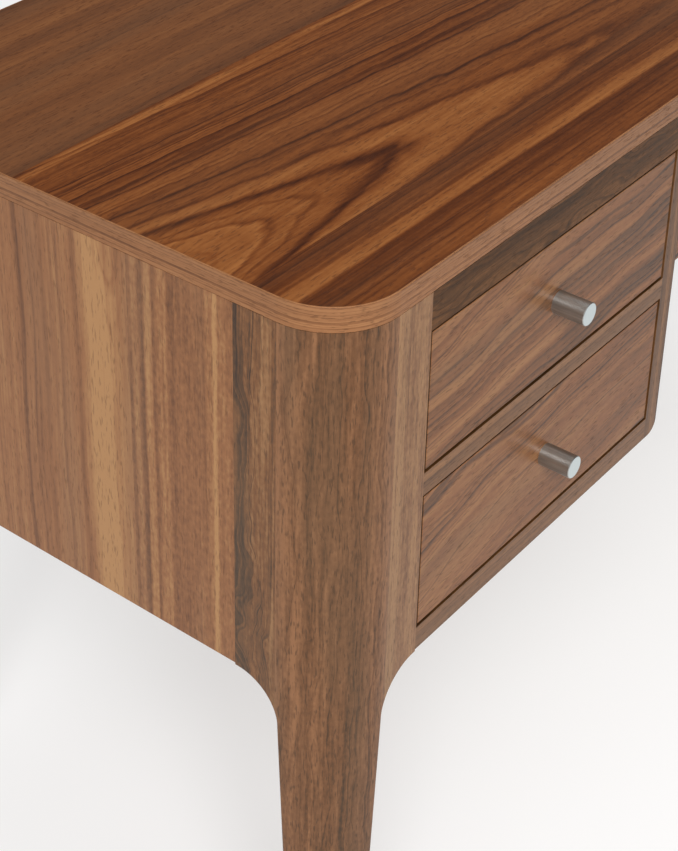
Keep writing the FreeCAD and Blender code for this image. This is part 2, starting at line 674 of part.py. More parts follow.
def make_slides(opening, slide_screws):
    """A left and a right slide, each of three channels that run inside one another."""
    name = opening.name + "_drawer_slide"
    left, right = opening.left, opening.right
    outer = [channel(name + "_outer_left", left, True, "slide_height", opening.slide_middle),
             channel(name + "_outer_right", right, False, "slide_height", opening.slide_middle)]
    middle = [channel(name + "_middle_left", f"{left} + slide_middle_offset", True,
                      MIDDLE_HEIGHT, opening.slide_middle),
              channel(name + "_middle_right", f"{right} - slide_middle_offset", False,
                      MIDDLE_HEIGHT, opening.slide_middle)]
    inner = [channel(name + "_inner_left", f"{left} + slide_thickness", False,
                     INNER_HEIGHT, opening.slide_middle),
             channel(name + "_inner_right", f"{right} - slide_thickness", True,
                     INNER_HEIGHT, opening.slide_middle)]
    return {
        name + "_outer": cut(name + "_outer", group(name + "_outer_blank", outer), [slide_screws]),
        name + "_middle": group(name + "_middle", middle),
        name + "_inner": group(name + "_inner", inner),
    }


def make_knob(opening):
    """A plain cylinder that stands on the middle of the drawer front."""
    body = doc.addObject("PartDesign::Body", opening.name + "_knob_blank")
    face = new_sketch(body, "XZ_Plane", "Circle")
    circle = face.addGeometry(Part.Circle(Vector(), Vector(0, 0, 1), value("knob_diameter / 2")))
    face.addConstraint(Sketcher.Constraint("Coincident", circle, CENTRE, *ORIGIN))
    dimension(face, "Diameter", circle, size="knob_diameter")
    pad(body, face, "knob_length")
    outer_end = -value("knob_length")
    chamfer_edges(body, "knob_edge", lambda edge: close(high(edge, "y"), outer_end))
    return place(body, opening.centre, opening.front, opening.middle)


def make_drawer(opening):
    """The box, its front with the knob, and the knob's screw."""
    name = opening.name + "_drawer_"
    side_height, side_low = "box_height", opening.box_low
    left_side = f"({opening.left} + slide_thickness)"
    right_side = f"({opening.right} - slide_thickness - box_wall)"
    inside = f"({right_side} - {left_side} - box_wall)"
    bottom_low = f"({side_low} + box_groove_rise)"
    bottom_top = f"({bottom_low} + box_bottom)"
    sides_back = f"({opening.back_of_front} + box_depth)"

    bottom = box(name + "bottom", f"{left_side} + box_wall - box_bottom",
                 f"{opening.back_of_front} - box_bottom", bottom_low,
                 f"{inside} + 2 * box_bottom", "box_depth + box_bottom", "box_bottom")
    left = box(name + "left_blank", left_side, opening.back_of_front, side_low,
               "box_wall", "box_depth", side_height)
    right = box(name + "right_blank", right_side, opening.back_of_front, side_low,
                "box_wall", "box_depth", side_height)
    back = box(name + "back", f"{left_side} + box_wall", f"{sides_back} - box_wall", bottom_top,
               inside, "box_wall", f"{opening.box_top} - {bottom_top}")

    screw_seat = at(opening.centre, opening.back_of_front, opening.middle)
    knob_screw = loose_pieces(name + "knob_screw", [fastener(KNOB_SCREW, screw_seat, -BACKWARDS)])

    front = block(name + "front_blank", f"{opening.left} + front_gap", opening.front,
                  f"{opening.top} - {opening.height} + front_gap",
                  f"{opening.right} - {opening.left} - 2 * front_gap", "rail_thickness",
                  f"{opening.height} - 2 * front_gap")
    round_edges(front, "front_edge_round", lambda edge: close(high(edge, "y"), 0))
    return {
        name + "front": cut(name + "front", front, [bottom, knob_screw]),
        name + "left_side": cut(name + "left_side", left, [bottom]),
        name + "right_side": cut(name + "right_side", right, [bottom]),
        name + "back": back,
        name + "bottom": bottom,
        name + "knob": cut(name + "knob", make_knob(opening), [knob_screw]),
        name + "knob_screw": knob_screw,
    }


# ---- the whole desk ----

def make_desk():
    dowels = make_dowels()
    glides = make_glides()
    brackets, bracket_screws = make_brackets()
    slide_screws = make_slide_screws()
    legs = make_legs(dowels, glides)
    desk = {
        "frame_dowels": dowels,
        "leg_glides": glides,
        "tabletop_brackets": brackets,
        "bracket_screws": bracket_screws,
        "slide_screws": slide_screws,
    }
    desk.update(legs)
    desk.update(make_tabletop(bracket_screws))
    desk.update(make_front(dowels, bracket_screws))
    desk.update(make_panels(dowels, bracket_screws, slide_screws, legs))
    for opening in OPENINGS:
        desk.update(make_slides(opening, slide_screws))
        desk.update(make_drawer(opening))
    return desk


def check(desk):
    """Stop on anything that failed to recompute, or isn't a sound set of solids."""
    for item in doc.Objects:
        if "Invalid" in item.State or "Error" in item.State:
            raise RuntimeError(f"{item.Label}: {item.State}")
    for name, piece in desk.items():
        shape = piece.Shape
        if shape.isNull() or not shape.isValid() or not shape.Solids:
            raise RuntimeError(f"{name}: not a valid solid")


def export(desk):
    os.makedirs("parts", exist_ok=True)
    for name, piece in desk.items():
        piece.Label = name
        piece.Shape.exportStep(f"parts/{name}.step")


desk_pieces = make_desk()
doc.recompute()
check(desk_pieces)
export(desk_pieces)
print(len(desk_pieces), "nodes")
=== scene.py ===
import math

import bpy
from mathutils import Matrix, Vector

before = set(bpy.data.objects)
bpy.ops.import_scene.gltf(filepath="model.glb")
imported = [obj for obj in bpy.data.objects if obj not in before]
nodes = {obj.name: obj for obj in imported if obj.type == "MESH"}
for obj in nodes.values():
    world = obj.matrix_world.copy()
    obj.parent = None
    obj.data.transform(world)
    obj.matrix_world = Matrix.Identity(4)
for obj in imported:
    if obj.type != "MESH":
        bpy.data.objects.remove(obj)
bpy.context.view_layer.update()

# The room's colours are judged as they stand, without a film curve.
bpy.context.scene.view_settings.view_transform = "Standard"


def srgb(red, green, blue):
    """A colour named by its 0-255 screen values, as the linear colour that shaders take."""
    def linear(channel):
        share = channel / 255
        return share / 12.92 if share <= 0.04045 else ((share + 0.055) / 1.055) ** 2.4
    return (linear(red), linear(green), linear(blue), 1.0)


# ---- a short way to write node trees ----

class Value:
    """A number, vector or colour that a node of the tree gives."""

    def __init__(self, tree, socket):
        self.tree = tree
        self.socket = socket

    def __add__(self, other):
        return self.tree.math("ADD", self, other)

    def __sub__(self, other):
        return self.tree.math("SUBTRACT", self, other)

    def __rsub__(self, other):
        return self.tree.math("SUBTRACT", other, self)

    def __mul__(self, other):
        return self.tree.math("MULTIPLY", self, other)

    def __truediv__(self, other):
        return self.tree.math("DIVIDE", self, other)

    def __pow__(self, power):
        return self.tree.math("POWER", self, power)

    __radd__ = __add__
    __rmul__ = __mul__


class Tree:
    """One material's nodes, made by short calls."""

    def __init__(self, name):
        self.material = bpy.data.materials.new(name)
        self.material.use_nodes = True
        self.nodes = self.material.node_tree.nodes
        self.links = self.material.node_tree.links
        self.nodes.clear()

    def node(self, kind, inputs=None, **settings):
        made = self.nodes.new("ShaderNode" + kind)
        for key, setting in settings.items():
            setattr(made, key, setting)
        for name, given in (inputs or {}).items():
            socket = made.inputs[name]
            if isinstance(given, Value):
                self.links.new(given.socket, socket)
            else:
                socket.default_value = given
        return made

    def value(self, made, output=0):
        return Value(self, made.outputs[output])

    def math(self, operation, *values):
        return self.value(self.node("Math", dict(enumerate(values)), operation=operation))

    def place(self):
        """The point's x, y and z in the desk's own frame, in metres."""
        coordinates = self.value(self.node("TexCoord"), "Object")
        split = self.node("SeparateXYZ", {0: coordinates})
        return tuple(self.value(split, axis) for axis in range(3))

    def facing(self):
        """The surface's normal: -1 in y on the faces that look to the desk's front."""
        normal = self.value(self.node("TexCoord"), "Normal")
        split = self.node("SeparateXYZ", {0: normal})
        return tuple(self.value(split, axis) for axis in range(3))

    def vector(self, x, y=0.0, z=0.0):
        return self.value(self.node("CombineXYZ", {0: x, 1: y, 2: z}))

    def noise(self, x, y=0.0, z=0.0, detail=2.0, roughness=0.5, seed=0.0):
        """Smooth noise between about 0 and 1, at x, y, z as they stand."""
        made = self.node("TexNoise", {"Vector": self.vector(x, y, z), "W": seed, "Scale": 1.0,
                                      "Detail": detail, "Roughness": roughness},
                         noise_dimensions="4D")
        return self.value(made, "Fac")

    def noise_1d(self, along, detail=2.0, roughness=0.5):
        """The same noise along a line."""
        made = self.node("TexNoise", {"W": along, "Scale": 1.0, "Detail": detail,
                                      "Roughness": roughness}, noise_dimensions="1D")
        return self.value(made, "Fac")

    def step(self, value, low, high):
        """0 below low, 1 above high and smooth between."""
        made = self.node("MapRange", {"Value": value, "From Min": low, "From Max": high},
                         interpolation_type="SMOOTHSTEP")
        return self.value(made)

    def ramp(self, value, stops):
        """The colour at a value between 0 and 1. stops holds places, and the colour at each."""
        made = self.node("ValToRGB", {0: value})
        elements = made.color_ramp.elements
        while len(elements) > 1:
            elements.remove(elements[0])
        elements[0].position, elements[0].color = stops[0]
        for position, color in stops[1:]:
            elements.new(position).color = color
        return self.value(made)

    def mix(self, share, first, second):
        """The first colour, and the second one where share is 1."""
        made = self.node("Mix", data_type="RGBA")
        for name, given in (("Factor", share), ("A", first), ("B", second)):
            kind = "VALUE" if name == "Factor" else "RGBA"
            socket = [each for each in made.inputs if each.name == name and each.type == kind][0]
            if isinstance(given, Value):
                self.links.new(given.socket, socket)
            else:
                socket.default_value = given
        return self.value(made, [each.type for each in made.outputs].index("RGBA"))

    def bump(self, height, distance):
        """A normal for small dents, as deep as distance in metres where height is 1."""
        return self.value(self.node("Bump", {"Height": height, "Distance": distance}))

    def finish(self, **inputs):
        """The surface itself. An underscore in a name stands for a space."""
        named = {name.replace("_", " "): given for name, given in inputs.items()}
        shader = self.node("BsdfPrincipled", named)
        output = self.node("OutputMaterial")
        self.links.new(shader.outputs[0], output.inputs[0])
        return self.material


# ---- wood: places and distances are in metres, and tones run from 0, dark, to 1, light ----

class Palette:
    """The colours of one kind of board: its light bands, plain wood, dark rings and grey streaks."""

    def __init__(self, light, middle, deep, ring, grey):
        self.grey = srgb(*grey)
        self.ring = srgb(*ring)
        self.stops = [(0.0, self.ring), (0.28, srgb(*deep)), (0.55, srgb(*middle)),
                      (0.9, srgb(*light))]


class Grain:
    """What a figure gives for each point of a board.

    heart is the distance from the heart of the tree. fibres are the point's two places across the
    fibres, then its place along them. tone is how light the wood is, with painted shade in it on the
    drawer fronts' edge faces and the rails. strength is how strongly the bands and rings show, grey how
    grey the wood is, with painted reflection in it on the top, and mottle how speckled.
    """

    def __init__(self, heart, fibres, tone, strength=1.0, grey=0.0, mottle=0.3):
        self.heart = heart
        self.fibres = fibres
        self.tone = tone
        self.strength = strength
        self.grey = grey
        self.mottle = mottle


PORE_DEPTH = 0.00005    # metres


def timber(name, palette, figure, band_pitch=0.02, band_share=0.9, ring_pitch=0.006, ring_share=0.45,
           streak_share=0.55, fibre_share=0.5, pore_share=0.4, grey_share=0.25, seed=0.0,
           roughness=0.33, specular=0.3):
    """A wooden board. figure(tree, x, y, z) gives its Grain.

    Bands and rings follow the distance from the heart, one to a pitch or so. Streaks, fibres, pores
    and grey run along the grain. A share says how much each of them shows.
    """
    tree = Tree(name)
    x, y, z = tree.place()
    grain = figure(tree, x, y, z)
    drift = tree.noise(x * 7, y * 7, z * 7, detail=1.0, seed=seed + 3.0) - 0.5

    bands = grain.heart / band_pitch + seed + drift * 0.3
    band = tree.noise_1d(bands, detail=4.0, roughness=0.62) - 0.5

    # a year's ring darkens slowly and ends sharply, and some years are darker than others
    count = grain.heart / ring_pitch + seed
    uneven = count + tree.noise_1d(count * 0.37, detail=1.0) * 4.0 + drift * 0.5
    year = tree.math("FLOOR", uneven)
    season = uneven - year
    darkness = tree.value(tree.node("TexWhiteNoise", {"W": year}, noise_dimensions="1D"))
    ring = tree.step(season, 0.35, 0.90) * (1 - tree.step(season, 0.92, 1.0)) * darkness

    def fibres(fine, long, detail, offset):
        """Noise that changes fine times a metre across the fibres, and long times along them."""
        first, second, along = grain.fibres
        return tree.noise(first * fine, second * fine, along * long, detail=detail,
                          seed=seed + offset)

    streak = fibres(fine=170, long=4, detail=3.0, offset=11.0) - 0.5
    fibre = fibres(fine=430, long=24, detail=3.0, offset=23.0) - 0.5
    pore = tree.step(fibres(fine=760, long=110, detail=1.0, offset=37.0), 0.56, 0.68)
    speckle = fibres(fine=330, long=190, detail=2.0, offset=61.0) - 0.5
    greyness = tree.step(fibres(fine=28, long=2.2, detail=2.0, offset=53.0), 0.46, 0.66)

    tone = grain.tone + (band * band_share - ring * ring_share) * grain.strength
    tone = tone + streak * streak_share + fibre * fibre_share + speckle * grain.mottle
    color = tree.ramp(tone, palette.stops)
    color = tree.mix(greyness * grey_share + grain.grey, color, palette.grey)
    color = tree.mix(pore * pore_share, color, palette.ring)
    return tree.finish(
        Base_Color=color,
        Roughness=roughness + fibre * 0.12 + pore * 0.12,
        Normal=tree.bump(fibre * 0.5 - pore, PORE_DEPTH),
        IOR=1.45,
        Specular_IOR_Level=specular,
    )


def sway(tree, across, along, seed, slow=0.012, quick=0.0014):
    """How far the grain wanders from its straight line: in slow waves, and in quick small ones."""
    wander = tree.noise(along * 3.5, across * 8, detail=2.0, seed=seed) - 0.5
    wiggle = tree.noise(along * 24, across * 90, detail=3.0, seed=seed + 1.0) - 0.5
    return wander * slow + wiggle * quick


def shades(tree, distance, reach, bands):
    """The tone at a distance. bands holds distances up to reach, and the tone at each."""
    stops = [(far / reach, (tone, tone, tone, 1)) for far, tone in bands]
    return tree.ramp(distance / reach, stops)


LEAF_WIDTH = 0.223      # veneer leaves laid side by side on the top
TOP_SEAM = -0.166       # where the leaf with the arches starts
LEAF_HEART = 0.0355     # how far the arches' middle line is from that seam
ARCH_PIVOT = -0.395     # at this x, since the line runs a little forward
ARCH_TILT = 0.05
ARCH_END = -0.61        # the arches open towards this end of the top
ARCH_RISE = 0.084       # how far the wood's surface leaves the heart, from that end on
ARCH_REACH = 0.21       # and over what length it does most of that
ARCH_CURVE = 30         # how sharply the arches bend at the middle line
SEAM_LEAD = 0.015       # the bands at the seam behind start this far before it
FRONT_STRETCH = 2.5     # how much closer the fine lines are in the leaf at the front
BACK_STRETCH = 1.5      # and in the one behind
BACK_SHIFT = 0.7        # takes the leaf behind to another part of the same noise
# the leaf with the arches: metres from the heart, and the tone there
HEART_BANDS = [(0.0, 0.66), (0.016, 0.70), (0.0215, 0.84), (0.0235, 0.32), (0.027, 0.60), (0.0340, 0.64),
               (0.0356, 0.32), (0.038, 0.60), (0.045, 0.54), (0.0528, 0.04), (0.0555, 0.48), (0.060, 0.76),
               (0.070, 0.68), (0.0745, 0.58), (0.0785, 0.16), (0.083, 0.50), (0.098, 0.54), (0.106, 0.46),
               (0.110, 0.24), (0.114, 0.48), (0.126, 0.62), (0.150, 0.64), (0.164, 0.44), (0.171, 0.18),
               (0.178, 0.42), (0.225, 0.50), (0.230, 0.28), (0.236, 0.50), (0.300, 0.46), (0.325, 0.50)]
# at the seam behind it: metres from where these bands start, and the tone there; 0.5 adds nothing
SEAM_BANDS = [(0.0, 0.5), (0.003, 0.5), (0.006, 0.80), (0.010, 0.76), (0.013, 0.46), (0.016, 0.22),
              (0.020, 0.20), (0.028, 0.5)]
# the leaf behind: metres from that seam, and the tone there
BACK_BANDS = [(0.0, 0.50), (0.035, 0.53), (0.052, 0.48), (0.060, 0.40), (0.066, 0.44), (0.073, 0.56),
              (0.086, 0.54), (0.097, 0.62), (0.106, 0.40), (0.113, 0.33), (0.120, 0.50), (0.131, 0.62),
              (0.141, 0.54), (0.152, 0.32), (0.159, 0.42), (0.169, 0.66), (0.180, 0.56), (0.200, 0.44)]
# the leaf at the front: metres from the seam, and the tone there
FRONT_BANDS = [(0.0, 0.24), (0.004, 0.18), (0.012, 0.32), (0.017, 0.24), (0.020, 0.50), (0.029, 0.58),
               (0.034, 0.84), (0.038, 0.74), (0.041, 0.20), (0.050, 0.34), (0.055, 0.22), (0.062, 0.44),
               (0.080, 0.50)]


def top_figure(tree, x, y, z):
    """The top's veneer: a middle leaf with long arches, a striped one in front, a calm one behind."""
    place = (y - TOP_SEAM) / LEAF_WIDTH
    leaf = tree.math("FLOOR", place)
    middle = tree.math("COMPARE", leaf, 0.0, 0.5)
    front = tree.math("LESS_THAN", leaf, -0.5)
    back = 1 - middle - front

    across = (place - leaf) * LEAF_WIDTH - LEAF_HEART + (x - ARCH_PIVOT) * ARCH_TILT
    side = tree.math("ABSOLUTE", across + sway(tree, y, x, 4.0, slow=0.012, quick=0.003))
    rise = ARCH_RISE - ARCH_RISE * tree.math("EXPONENT", (ARCH_END - x) / ARCH_REACH)
    spread = side * side * ARCH_CURVE / (side * 10 + 1)
    near = 1 - tree.step(side, 0.02, 0.13) * 0.8
    heart = rise * near + spread + sway(tree, y, x, 6.0, slow=0.006, quick=0.012)
    away = TOP_SEAM - y + sway(tree, y, x, 8.0, slow=0.003, quick=0.0006)
    past = y - TOP_SEAM - LEAF_WIDTH + SEAM_LEAD + sway(tree, y, x, 9.0, slow=0.003, quick=0.0006)
    behind = y - TOP_SEAM - LEAF_WIDTH + sway(tree, y, x, 10.0, slow=0.014, quick=0.003)

    tone = shades(tree, heart, 0.36, HEART_BANDS) * middle
    tone = tone + shades(tree, away, 0.1, FRONT_BANDS) * front
    tone = tone + shades(tree, behind, 0.2, BACK_BANDS) * back
    tone = tone + (shades(tree, past, 0.03, SEAM_BANDS) - 0.5) * (1 - front)
    lines = heart * middle + away * FRONT_STRETCH * front + (behind * BACK_STRETCH + BACK_SHIFT) * back
    busy = tree.step(heart, 0.075, 0.110)
    strength = busy * (middle * 0.8 + back * 0.4) + middle * 0.2 + back * 0.25 + front * 0.5
    # the leaf behind is greyer, and the top grows greyer towards +x as a painted reflection of the grey
    # room
    grey = back * 0.4 + tree.step(x, -0.25, 0.15) * 0.4
    return Grain(lines, (y, z, x), tone, strength, grey, mottle=0.2)


def board_figure(across_axis, grain_axis, seed, mottle=0.3):
    """Nearly straight grain that wanders a little."""
    def figure(tree, x, y, z):
        axes = {"x": x, "y": y, "z": z}
        across, along = axes[across_axis], axes[grain_axis]
        [thick] = [axes[name] for name in axes if name not in (across_axis, grain_axis)]
        return Grain(across + sway(tree, across, along, seed), (across, thick, along), tone=0.52,
                     mottle=mottle)
    return figure


END_SEAM = -0.0535      # between the end panel's two leaves
# the leaf in front of it: metres from the seam, and the tone there
END_STRIPES = [(0.0, 0.34), (0.0025, 0.40), (0.004, 0.62), (0.009, 0.60), (0.011, 0.32), (0.014, 0.40),
               (0.0165, 0.76), (0.0215, 0.72), (0.0245, 0.36), (0.027, 0.44), (0.030, 0.62), (0.036, 0.58),
               (0.039, 0.30), (0.042, 0.28), (0.045, 0.46), (0.070, 0.44), (0.0765, 0.56), (0.0790, 0.66),
               (0.0805, 1.0), (0.0820, 0.92), (0.0840, 0.56), (0.098, 0.52)]
# and the leaf behind it
END_BANDS = [(0.0, 0.64), (0.006, 0.72), (0.014, 0.86), (0.022, 0.98), (0.033, 0.94), (0.040, 0.80),
             (0.047, 0.62), (0.051, 0.46), (0.055, 0.62), (0.064, 0.58), (0.0685, 0.42), (0.073, 0.58),
             (0.085, 0.58), (0.0885, 0.42), (0.092, 0.58), (0.098, 0.54), (0.101, 0.34), (0.104, 0.58),
             (0.109, 0.54), (0.111, 0.22), (0.114, 0.54), (0.130, 0.62), (0.155, 0.58)]
# how much the small arch darkens the wood, from outside it to inside
END_ARCH = [(0.0, 0.0), (1.5, 0.0), (1.8, 0.4), (2.1, 0.0), (2.6, 0.1), (3.0, 1.0), (3.2, 0.5), (4.0, 0.6)]
SMALL_ARCH_EDGE = 3.0           # where its own line is, on that scale
SMALL_ARCH_Y = -0.0425
SMALL_ARCH_TIP = 0.709          # the height of its tip, which points down
SMALL_ARCH_LENGTH = 0.031
SMALL_ARCH_HALF_WIDTH = 0.011


def end_figure(tree, x, y, z):
    """The end panel: a leaf of straight stripes beside one with a light band and a small arch."""
    front = tree.math("LESS_THAN", y, END_SEAM)
    back = 1 - front
    away = END_SEAM - y + sway(tree, y, z, 22.0, slow=0.002, quick=0.0006)
    bent = y + sway(tree, y, z, 20.0, slow=0.030, quick=0.0012)
    into = bent - END_SEAM
    aside = (bent - SMALL_ARCH_Y) / SMALL_ARCH_HALF_WIDTH
    inside = (z - SMALL_ARCH_TIP) / SMALL_ARCH_LENGTH - aside * aside + SMALL_ARCH_EDGE
    arch = shades(tree, inside, 4.0, END_ARCH) * back
    stripes = shades(tree, away, 0.16, END_STRIPES)
    bands = shades(tree, into, 0.16, END_BANDS)
    return Grain(away * front + into * back, (y, x, z), stripes * front + bands * back - arch * 0.25,
                 strength=0.5 + tree.step(into, 0.03, 0.06) * 0.5, mottle=0.2 + front * 0.5)


BLOCK_HEART_X = 0.40            # the heart of the block's tree, at the floor
BLOCK_HEART_Y = 0.33
BLOCK_LEAN = 0.02               # and how far inwards it leans for each metre up
CORNER_SPAN = (0.785, 0.832)    # the block darkens over this span of |x| + |y|, towards its corner
FLANK_SPAN = (0.604, 0.610)     # lightens over this span of |x|, on the desk's sides
FACE_SPAN = (0.241, 0.247)      # and this span of |y|, on its front and back
LOW_SPAN = (0.42, 0.30)         # and darkens over this span of z, downwards


def block_figure(tree, x, y, z):
    """A leg's corner block: upright grain, lighter on the flat faces than at the corner."""
    side, front = tree.math("ABSOLUTE", x), tree.math("ABSOLUTE", y)
    off_x, off_y = side - BLOCK_HEART_X + z * BLOCK_LEAN, front - BLOCK_HEART_Y
    radius = (off_x * off_x + off_y * off_y) ** 0.5
    corner = tree.step(side + front, *CORNER_SPAN)
    flank = tree.step(side, *FLANK_SPAN)
    face = tree.step(front, *FACE_SPAN)
    low = tree.step(z, *LOW_SPAN)
    knot = tree.noise((x - y) * 40, z * 14, seed=42.0) - 0.5
    lines = radius + sway(tree, x - y, z, 41.0, slow=0.028, quick=0.0008) + knot * 0.02
    tone = 0.74 - corner * 0.28 + flank * 0.20 + face * 0.10 - low * 0.10
    return Grain(lines, (x, y, z), tone, mottle=0.7)


WING_SIDE = 0.57                # further out than this is the wing on the desk's side
DARK_EDGE = 0.170               # where |y| is less than this, it is dark
DARK_EXTRA = 0.014              # and this much further out, lower down
DARK_BLUR = 0.006               # half the width over which the dark fades


def wing_figure(tree, x, y, z):
    """A leg's wings: dark wild grain on the desk's side, light straight grain on its front and back."""
    on_side = tree.math("GREATER_THAN", tree.math("ABSOLUTE", x), WING_SIDE)
    across = tree.math("ABSOLUTE", y) * on_side + tree.math("ABSOLUTE", x) * (1 - on_side)
    edge = DARK_EDGE + tree.step(z, 0.56, 0.48) * DARK_EXTRA
    wavy = across + sway(tree, across, z, 48.0, slow=0.02)
    dark = tree.step(wavy, edge + DARK_BLUR, edge - DARK_BLUR) * on_side
    wild = sway(tree, across * 2, z * 3, 43.0, slow=0.12, quick=0.0008)
    wild = wild * dark * tree.step(z, 0.74, 0.60)
    straight = sway(tree, across, z, 46.0, slow=0.010)
    tone = (0.66 - dark * 0.18) * on_side + 0.75 * (1 - on_side)
    return Grain(across + wild + straight, (x, y, z), tone, strength=0.7 + dark * 0.5, mottle=0.5)


WAVE_SLOPE = 0.12               # how steeply the drawer fronts' waves climb to the right
LOWER_SPAN = (0.60, 0.55)       # the span of z where the upper front's look turns into the lower one's


def front_figure(tree, x, y, z):
    """A drawer front: waves that climb to the right, and its edge faces painted dark as the shade in the
    gaps around it.
    """
    wander = sway(tree, z, x, 61.0, slow=0.09)
    # painted shade: the faces that don't look to the front are darkened as the shadow in the gaps around
    # the drawer
    gap_shade_edges = tree.math("LESS_THAN", tree.math("ABSOLUTE", tree.facing()[1]), 0.5)
    far = tree.step(x, -0.42, -0.18)
    low = tree.step(z, *LOWER_SPAN)
    tone = 0.66 - far * 0.16 + low * 0.02 - gap_shade_edges * 0.6
    return Grain(z - x * WAVE_SLOPE + wander, (z, y, x), tone, strength=1 - gap_shade_edges * 0.7 - low * 0.05)


TOP_MIDDLE_Y = 0.013            # the middle of the tabletop, from front to back
CORNER_START_X = 0.552          # where the top's rounded corners start, from its middle
CORNER_START_Y = 0.203
RIM_SLANT = 0.8                 # how much the edge band's lines slant through its thickness


def rim_figure(tree, x, y, z):
    """The tabletop's edge band: fine lines that follow the rim round the corners."""
    past_x = tree.math("MAXIMUM", tree.math("ABSOLUTE", x) - CORNER_START_X, 0.0)
    past_y = tree.math("MAXIMUM", tree.math("ABSOLUTE", y - TOP_MIDDLE_Y) - CORNER_START_Y, 0.0)
    rim = (past_x * past_x + past_y * past_y) ** 0.5
    along = x - y
    across = z - rim * RIM_SLANT
    wander = sway(tree, across, along, 31.0, slow=0.006, quick=0.0008)
    return Grain(across + wander, (across, rim, along), tone=0.60, mottle=0.15)


TOP_RAIL_SPAN = (0.700, 0.705)  # the top rail is above this span of z, and the other rails below it


def rail_figure(tree, x, y, z):
    """The rails: the one under the tabletop painted darker as the tabletop's shadow on it, lighter ones
    below, and upper faces painted dark as the shade in the gaps above them.
    """
    high = tree.step(z, *TOP_RAIL_SPAN)
    wander = sway(tree, z * 3, x * 3, 51.0, slow=0.06) * high + sway(tree, z, x, 52.0)
    gap_shaded_upper_face = tree.math("GREATER_THAN", tree.facing()[2], 0.5)
    # painted shade: the top rail darker under the tabletop, and the faces that look up dark inside the
    # gaps
    tone = 0.60 - high * 0.33 - gap_shaded_upper_face * 0.5
    return Grain(z + wander, (z, y, x), tone, strength=0.8 - high * 0.1)


TOP = Palette((150, 94, 48), (120, 67, 29), (91, 46, 17), (58, 25, 8), (106, 74, 50))
SIDE = Palette((172, 126, 80), (145, 96, 58), (124, 79, 46), (88, 54, 30), (132, 98, 70))
BAND = Palette((172, 122, 80), (146, 98, 62), (116, 74, 44), (76, 46, 28), (124, 92, 68))
LEG = Palette((140, 96, 62), (116, 77, 47), (98, 63, 35), (64, 44, 26), (96, 76, 54))
WING = Palette((156, 114, 74), (120, 78, 44), (90, 60, 35), (56, 38, 25), (100, 78, 54))
FRONT = Palette((154, 108, 68), (130, 83, 50), (104, 69, 43), (64, 46, 34), (108, 82, 58))
RAIL = Palette((146, 102, 62), (120, 80, 46), (90, 57, 28), (60, 38, 18), (96, 74, 52))
MAPLE = Palette((232, 206, 168), (218, 188, 148), (204, 172, 130), (176, 142, 102), (208, 184, 152))
BEECH = Palette((214, 178, 134), (200, 160, 116), (184, 142, 98), (150, 108, 70), (190, 156, 118))

# by the name of the CAD piece's material
wood = {
    "walnut_top_veneer": timber("walnut_top_veneer", TOP, top_figure, band_pitch=0.045, band_share=0.8,
                                ring_pitch=0.014, ring_share=0.45, streak_share=0.5, grey_share=0.15,
                                specular=0.25),
    "walnut_edge_band": timber("walnut_edge_band", BAND, rim_figure, band_pitch=0.006, band_share=0.5,
                               ring_pitch=0.0022, seed=2.0, roughness=0.42, specular=0.22),
    "walnut_solid": timber("walnut_solid", LEG, block_figure, band_pitch=0.012, band_share=0.95,
                           ring_pitch=0.004, ring_share=0.35, streak_share=1.05, fibre_share=1.0,
                           pore_share=0.55, seed=5.0),
    "walnut_rail": timber("walnut_rail", RAIL, rail_figure, seed=7.0, specular=0.25),
    "walnut_drawer_veneer": timber("walnut_drawer_veneer", FRONT, front_figure, band_pitch=0.026,
                                   band_share=1.2, ring_pitch=0.009, ring_share=0.5,
                                   streak_share=0.4, seed=9.0, specular=0.19),
    "walnut_panel_veneer": timber("walnut_panel_veneer", SIDE, end_figure, band_share=0.5, ring_share=0.25,
                                  seed=12.0),
    "drawer_box_maple": timber("drawer_box_maple", MAPLE, board_figure("z", "y", 71.0, mottle=0.1),
                               ring_share=0.2, pore_share=0.1, seed=17.0, roughness=0.45),
    "beech": timber("beech", BEECH, board_figure("z", "x", 75.0, mottle=0.4), ring_share=0.2, seed=18.0,
                    roughness=0.5),
}
# and for the pieces that show another cut of the same wood, by the end of the piece's name
wing_wood = timber("walnut_wings", WING, wing_figure, band_share=1.1, ring_pitch=0.005, fibre_share=0.7,
                   seed=15.0)
# the top rail, whose darker colour from rail_figure is painted shade from the tabletop above it
shaded_top_rail = timber("walnut_top_rail", RAIL, rail_figure, seed=7.0, specular=0.08)
stile_wood = timber("walnut_stile", RAIL, board_figure("x", "z", 55.0), seed=16.0, specular=0.25)
cross_maple = timber("drawer_box_maple_across", MAPLE, board_figure("z", "x", 72.0, mottle=0.1),
                     ring_share=0.2, pore_share=0.1, seed=19.0, roughness=0.45)
cuts = {"_wings": wing_wood, "_stile": stile_wood, "top_rail": shaded_top_rail, "_drawer_back": cross_maple,
        "_drawer_bottom": cross_maple}


# ---- metal and plastic ----

SCRATCH_DEPTH = 0.00002         # metres
GRAIN_DEPTH = 0.00003


def darker(shade, share):
    """That share of a colour's brightness on the screen."""
    return srgb(*[channel * share for channel in shade])


